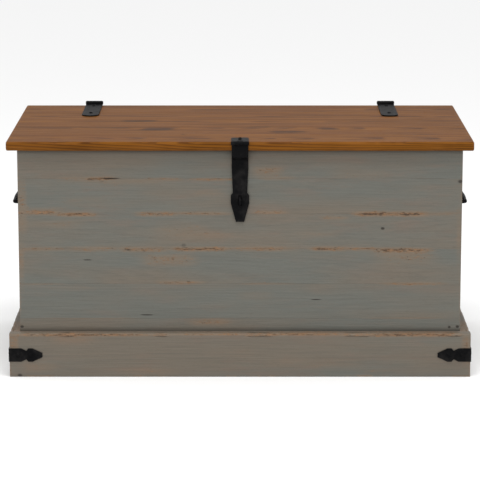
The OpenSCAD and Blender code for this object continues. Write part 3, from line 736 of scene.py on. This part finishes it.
# %% Walls
TONE = {1: GREY_LOW, 2: GREY_LOW, 3: GREY_LOW, 4: GREY, 5: GREY, 6: GREY}
back_z = np.array([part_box(f"back_board_{i}")[1][2] / MM for i in (1, 2)])
wear_of = {"left": random_wear(210, joint_z), "right": random_wear(210, joint_z)}
back_wear = random_wear(420, back_z, 9)
WALL_EDGE = (0.3, 2.4)  # radius of a wall board's edges in mm, and how many times it grows
planks = []
for i in range(1, 7):
    look = {"inner": BARE, "finish": TONE[i], "glued": (i > 1, i < 6), "edge_rub": 0.25}
    planks.append(plank(f"front_board_{i}", "x", "-y", *WALL_EDGE, table=FRONT_WEAR, **look))
    planks.append(plank(f"left_board_{i}", "y", "-x", *WALL_EDGE, table=wear_of["left"], **look))
    planks.append(plank(f"right_board_{i}", "y", "+x", *WALL_EDGE, table=wear_of["right"], **look))
for i in range(1, 4):
    look = {"inner": BARE, "finish": TONE[2 * i], "glued": (i > 1, i < 3), "edge_rub": 0.3}
    planks.append(plank(f"back_board_{i}", "x", "+y", *WALL_EDGE, table=back_wear, **look))
print("walls:", len(planks), "boards")

# %% [markdown]
# ## Plinth
# The plinth's top edge is rounded with a plane and worn to the wood along most of its length,
# so it catches a warm line of light. The rounding is one soft corner of the plank's section.

# %% Plinth
top_wear = random_wear(225, np.array([86.0]), 7)
face_wear = random_wear(225, np.array([20.0, 55.0]), 3)
side_plinth_wear = np.vstack([top_wear, face_wear])
look = {"soft": [(1, 1)], "soft_mm": 3.4, "edge_rub": 0.7, "finish": GREY_WARM}
planks.append(plank("plinth_front", "x", "-y", 0.6, 1.8, table=PLINTH_WEAR, **look))
for side, way in (("left", "-x"), ("right", "+x")):
    planks.append(plank(f"plinth_{side}", "y", way, 0.6, 1.8, table=side_plinth_wear, **look))
print("plinth: 3 boards")

# %% [markdown]
# ## Lid
# Five boards are glued edge to edge and sanded as one, so the joints can hardly be seen: their
# glued edges stay sharp, and only the rim of the whole lid is eased. The front edge is rounded
# above and below. A table places a few dark flecks, and the battens carry the same table.

# %% Lid
# Each row: middle X, middle Y, half length and half depth in mm, and strength.
FLECKS = np.array(
    [
        (-208, 22, 46, 21.0, 1.0), (-165, -84, 38, 17.0, 1.2), (-268, -70, 66, 14.0, 0.6),
        (95, -118, 48, 20.0, 0.95), (178, -82, 30, 15.0, 1.2), (-320, 120, 60, 14.0, 0.5),
        (40, -52, 30, 13.0, 0.7), (250, 60, 60, 14.0, 0.5), (120, 150, 90, 12.0, 0.4),
        (-60, -190, 70, 8.0, 0.45), (360, -150, 60, 9.0, 0.5),
    ]
)
LID_WEAR = random_wear(440, np.array([-244.0]), 14)
lid_board = {"marks": FLECKS, "ease": 2.6}
nose = {"soft": [(-1, 1), (-1, -1)], "soft_mm": 3.8, "table": LID_WEAR, "edge_rub": 0.6}
front_board = {**nose, **lid_board, "glued": (False, True)}
planks.append(plank("lid_board_1", "x", "+z", 0.25, 1.6, **front_board))
for i in range(2, 6):
    look = {**lid_board, "edge_rub": 0.1, "glued": (True, i < 5)}
    planks.append(plank(f"lid_board_{i}", "x", "+z", 0.25, 1.6, **look))
for side in ("left", "right"):
    planks.append(plank(f"lid_batten_{side}", "y", "-z", 1.2, 1.5, edge_rub=0.3, marks=FLECKS))
print("lid: 5 boards and 2 battens")

# %% [markdown]
# ## Wood inside
# Posts stiffen the corners and cleats carry the bottom. They are the same planks in bare pine.
# A child's hands reach in, so all their edges are taken off.

# %% Posts, bottom and cleats
for place in ("front_left", "front_right", "back_left", "back_right"):
    planks.append(plank(f"post_{place}", "z", "+x", 0.9, 1.6))
planks.append(plank("bottom_panel", "x", "+z", 0.5, 1.4))
for place in ("front", "back"):
    planks.append(plank(f"cleat_{place}", "x", "+z", 0.9, 1.5))
print("boards in all:", len(planks))

# %% [markdown]
# ## Ironwork with softened edges
# The CAD irons have the right outlines, holes and knuckles, but sharp edges. A real forging
# has none. Drawing them again would risk a hinge that no longer fits its pin. So a copy of each
# is merged into one skin, its flat faces are joined, and a narrow Bevel softens every edge.


# %% Softening a CAD iron
def forge(node_name, width_mm, angle=28.0):
    """A copy of a CAD node with its doubles merged, its flats joined and its edges bevelled."""
    work = bmesh.new()
    work.from_mesh(frame["nodes"][node_name].data)
    bmesh.ops.remove_doubles(work, verts=work.verts, dist=1e-5)
    bmesh.ops.dissolve_limit(work, angle_limit=math.radians(1), verts=work.verts, edges=work.edges)
    mesh = bpy.data.meshes.new(node_name + "_iron")
    work.to_mesh(mesh)
    work.free()
    mesh.materials.append(FINISH[SLOT_OF[node_name]])
    mesh.polygons.foreach_set("use_smooth", np.ones(len(mesh.polygons), bool))
    mesh.set_sharp_from_angle(angle=math.radians(angle))
    piece = bpy.data.objects.new(mesh.name, mesh)
    bpy.context.scene.collection.objects.link(piece)
    bevel = piece.modifiers.new("soft edges", "BEVEL")
    bevel.width, bevel.segments = width_mm * MM, 2
    bevel.limit_method, bevel.angle_limit = "ANGLE", math.radians(angle)
    return settle(piece, node_name)


print("the forge is ready")

# %% [markdown]
# Screws, nails and handles are made another way below. Everything else of iron or steel is
# forged here. The thin stay gets a narrower bevel than the rest.

# %% Forge the irons
FASTENERS = ("lid_screws", "carcass_screws", "dome_nails")
BAILS = ("left_handle_bail", "right_handle_bail")
irons = [n for n, s in SLOT_OF.items() if s in ("black_iron", "stay_steel") and n not in FASTENERS + BAILS]
for name in irons:
    forge(name, width_mm=0.3 if name.startswith("stay") else 0.5)
print("softened irons:", len(irons))

# %% [markdown]
# ## Drop handles
# A smith bends one rod into a handle: two pivots, two arms, a step outwards and a grip that
# swells in its middle. So the handle is a circle carried along a path with rounded corners,
# and its radius changes along the way. Hammer facets are drawn into the radius.

# %% The path of a handle
ROD, SWELL, BEND = 3.8 * MM, 1.2 * MM, 6 * MM


def rounded_path(corners, bend, steps=7):
    """Points along straight lines and, at each corner, a quarter circle of radius bend:
    corner - bend * (in + out) + bend * (sin * in + (1 - cos) * out), in and out being the
    directions of the lines before and after it."""
    corners = np.array(corners, float)
    ways = np.diff(corners, axis=0)
    ways /= np.linalg.norm(ways, axis=1)[:, None]
    turn = np.linspace(0, math.pi / 2, steps)[:, None]
    rows = [corners[:1]]
    for corner, before, after in zip(corners[1:-1], ways[:-1], ways[1:]):
        rows.append(corner - bend * before + bend * (np.sin(turn) * before + (1 - np.cos(turn)) * after))
    path = np.concatenate(rows + [corners[-1:]])
    length = np.concatenate([[0], np.cumsum(np.linalg.norm(np.diff(path, axis=0), axis=1))])
    s = np.linspace(0, length[-1], int(length[-1] / (1.5 * MM)))
    s = np.unique(np.concatenate([s, length]))
    return np.column_stack([np.interp(s, length, path[:, k]) for k in range(3)]), s


trial = rounded_path([(0, 0, 0), (100 * MM, 0, 0), (100 * MM, 36 * MM, 0)], BEND)[1]
print("a rod bent once is", round(trial[-1] / MM, 1), "mm long")

# %% [markdown]
# The rod is a circle carried along that path. Its sizes come from the CAD handle's box, so the
# grip and the pivots land where the joint expects them.


# %% The rods
PIVOT_X = 443.5 * MM
PIVOT_IN = 18 * MM  # how far a pivot reaches inwards from the arm
AROUND = 20


def handle(node_name, side):
    """A circle of 20 points swept along the path: centre + radius * (cos * u + sin * v), where
    u and v stand square to the path and are found from one fixed slanting direction."""
    lo, hi = [np.array(v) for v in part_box(node_name)]
    out = (hi[0] if side > 0 else -lo[0]) - ROD - SWELL
    mid, arm = (lo[1] + hi[1]) / 2, (hi[1] - lo[1]) / 2 - ROD
    low, top = lo[2] + ROD + SWELL, hi[2] - ROD - 1 * MM
    half = [(PIVOT_X, arm - PIVOT_IN, top), (PIVOT_X, arm, top), (PIVOT_X, arm, low), (out, arm, low)]
    corners = half + [(x, -y, z) for x, y, z in half[::-1]]
    path, s = rounded_path([(side * x, mid + y, z) for x, y, z in corners], BEND)
    way = np.gradient(path, axis=0)
    way /= np.linalg.norm(way, axis=1)[:, None]
    slant = np.array([side, 1.0, 1.0]) / math.sqrt(3)
    u = slant - (way @ slant)[:, None] * way
    u /= np.linalg.norm(u, axis=1)[:, None]
    v = np.cross(way, u)
    turn = np.linspace(0, 2 * math.pi, AROUND, endpoint=False)
    grip = np.clip((path[:, 1] - mid) / (arm - BEND), -1, 1)
    on_grip = np.abs(path[:, 0] * side - out) < 1e-6
    collar = np.minimum(s, s[-1] - s) < 2 * MM
    radius = ROD + SWELL * np.cos(grip * math.pi / 2) ** 2 * on_grip + 0.9 * MM * collar
    facets = wave(s[:, None], np.array([170.0, 390, 820]), [0.3, 1.9, 4.0])
    facets = facets * np.cos(3 * turn + 40 * s[:, None])
    radius = radius[:, None] * (0.985 - 0.03 * np.abs(facets))
    ring = np.cos(turn)[None, :, None] * u[:, None] + np.sin(turn)[None, :, None] * v[:, None]
    points = path[:, None] + radius[..., None] * ring
    last = (len(s) - 1) * AROUND
    ends = [list(range(AROUND))[::-1], list(range(last, last + AROUND))]
    faces = tube_faces(len(s), AROUND).tolist() + ends
    return settle(make_piece(node_name + "_rod", points.reshape(-1, 3), faces, IRON, {}), node_name)


for name, side in zip(BAILS, (-1, 1)):
    handle(name, side)
print("handles:", len(BAILS))

# %% [markdown]
# ## Screws and nails
# Nails have plain domed heads, battered by the hammer. Screws have the same dome with a slot
# cut across it. Each is a profile turned about its axis, so the head, the flat under it and
# the shank are one closed skin. Where they stand and which way they point is read off the CAD
# solids: a fastener's long side is its axis, and most of its points are in its head.

# %% Where the fasteners are
def solids_of(node_name):
    """The corner points of each solid in a CAD node.

    Every point starts with its own number. Each edge then gives both of its ends the lower of
    their two numbers, until nothing changes, and a solid's points all have the same one.
    """
    work = bmesh.new()
    work.from_mesh(frame["nodes"][node_name].data)
    bmesh.ops.remove_doubles(work, verts=work.verts, dist=1e-6)
    mesh = bpy.data.meshes.new(node_name + "_merged")
    work.to_mesh(mesh)
    work.free()
    points, ends = np.empty(len(mesh.vertices) * 3), np.empty(len(mesh.edges) * 2, int)
    mesh.vertices.foreach_get("co", points)
    mesh.edges.foreach_get("vertices", ends)
    bpy.data.meshes.remove(mesh)
    points, ends = points.reshape(-1, 3), ends.reshape(-1, 2)
    number, before = np.arange(len(points)), None
    while before is None or (number != before).any():
        before = number.copy()
        np.minimum.at(number, ends.ravel(), np.repeat(before[ends].min(1), 2))
    return [points[number == k] for k in np.unique(number)]


print("solids of the nails:", len(solids_of("dome_nails")))

# %% [markdown]
# A lathe would give the same shape: a profile turned about an axis. Small flats close the skin
# at both ends, because a single point there would pinch the shading.


# %% A turned fastener
HEAD_R, HEAD_H, SHANK_R = 4.0 * MM, 2.2 * MM, 1.6 * MM
TURNS = 36


def turned_head(solid, slotted, spin):
    """Points of one fastener. The profile runs down the dome, z = top * (1 - (r / R)^2)^0.6,
    in under the head and down the shank; a slot lowers the points of the dome near a line."""
    lo, hi = solid.min(0), solid.max(0)
    a = int(np.argmax(hi - lo))
    b, d = [k for k in range(3) if k != a]
    sign = 1.0 if solid[:, a].mean() > (lo[a] + hi[a]) / 2 else -1.0
    seat = (lo + hi) / 2
    seat[a] = (hi[a] if sign > 0 else lo[a]) - sign * HEAD_H
    r = np.concatenate([np.linspace(0.02, 0.97, 8), [1.0, 0.99]]) * HEAD_R
    z = HEAD_H * np.clip(1 - (r / HEAD_R) ** 2, 0.04, 1) ** 0.6 * 0.98
    z[-1] = 0.0
    r = np.append(r, [SHANK_R, SHANK_R, 0.1 * MM])
    z = np.append(z, [0, -9 * MM, -11 * MM])
    turn = np.linspace(0, 2 * math.pi, TURNS, endpoint=False)
    px, py = r[:, None] * np.cos(turn), r[:, None] * np.sin(turn)
    dome = (z[:, None] > 0.3 * MM) & (r[:, None] < HEAD_R)
    cut = np.exp(-((py / (0.55 * MM)) ** 6)) * 0.9 * MM * dome if slotted else 0.0
    dents = 0.10 * MM * wave(px * 1.7 + py, np.array([900.0, 1700.0]), [spin, 2 * spin]) * dome
    c, t = math.cos(spin), math.sin(spin)
    points = np.zeros((len(r), TURNS, 3))
    points[..., b] = seat[b] + c * px - t * py
    points[..., d] = seat[d] + t * px + c * py
    points[..., a] = seat[a] + sign * (z[:, None] - cut - np.abs(dents))
    flip = np.linalg.det(np.eye(3)[[b, d, a]]) * sign < 0
    return points.reshape(-1, 3), len(r), flip


print("a head is", 2 * HEAD_R / MM, "mm wide")

# %% [markdown]
# All the fasteners of a CAD node become one piece. Each is turned by a random angle, as no one
# lines up the slots of screws.

# %% Turn them all
for name in FASTENERS:
    rows, faces, base = [], [], 0
    for solid in solids_of(name):
        points, rings, flip = turned_head(solid, name != "dome_nails", rng.uniform(0, 3.1))
        last = (rings - 1) * TURNS
        ends = [list(range(TURNS)), list(range(last, last + TURNS))[::-1]]
        skin = tube_faces(rings, TURNS)[:, ::-1].tolist() + ends
        faces += [[base + v for v in (face[::-1] if flip else face)] for face in skin]
        rows.append(points)
        base += len(points)
    settle(make_piece(name + "_heads", np.concatenate(rows), faces, IRON, {}), name)
    print(name, "heads:", len(rows))

# %% [markdown]
# ## Studio
# A pale floor, a bright even room and two large soft lamps: one above and a little in front,
# which lights the lid and casts the shadow under it, and a weaker one for the front. Small
# lamps would draw hard shadows, and the room alone would draw none.

# %% Floor and light
FLOOR = 40.0
floor_mesh = bpy.data.meshes.new("floor")
corners = [(-FLOOR, -FLOOR, 0), (FLOOR, -FLOOR, 0), (FLOOR, FLOOR, 0), (-FLOOR, FLOOR, 0)]
floor_mesh.from_pydata(corners, [], [(0, 1, 2, 3)])
floor = bpy.data.objects.new("floor", floor_mesh)
bpy.context.scene.collection.objects.link(floor)
floor_paint, _, floor_shader = new_material("floor_paint")
floor_shader.inputs["Base Color"].default_value = (0.90, 0.90, 0.90, 1)
floor_shader.inputs["Roughness"].default_value = 1.0
floor_shader.inputs["Specular IOR Level"].default_value = 0.0
floor_mesh.materials.append(floor_paint)


def lamp(name, place, aim, size, watts):
    """A square area lamp at place, turned towards aim."""
    made = bpy.data.objects.new(name, bpy.data.lights.new(name, "AREA"))
    made.data.shape, made.data.size, made.data.energy = "SQUARE", size, watts
    made.location = place
    way = np.array(aim) - np.array(place)
    tip = math.atan2(math.hypot(way[0], way[1]), -way[2])
    made.rotation_euler = (tip, 0, math.atan2(way[1], way[0]) - math.pi / 2)
    bpy.context.scene.collection.objects.link(made)


lamp("overhead", (0.2, -1.1, 2.9), (0, 0, 0.3), 1.6, 42)
lamp("front", (-1.4, -4.4, 2.4), (0, 0, 0.25), 2.0, 26)
world = bpy.data.worlds.new("room")
bpy.context.scene.world = world
world.use_nodes = True
world.node_tree.nodes["Background"].inputs["Color"].default_value = (1, 1, 1, 1)
world.node_tree.nodes["Background"].inputs["Strength"].default_value = 1.0
print("lamps placed")
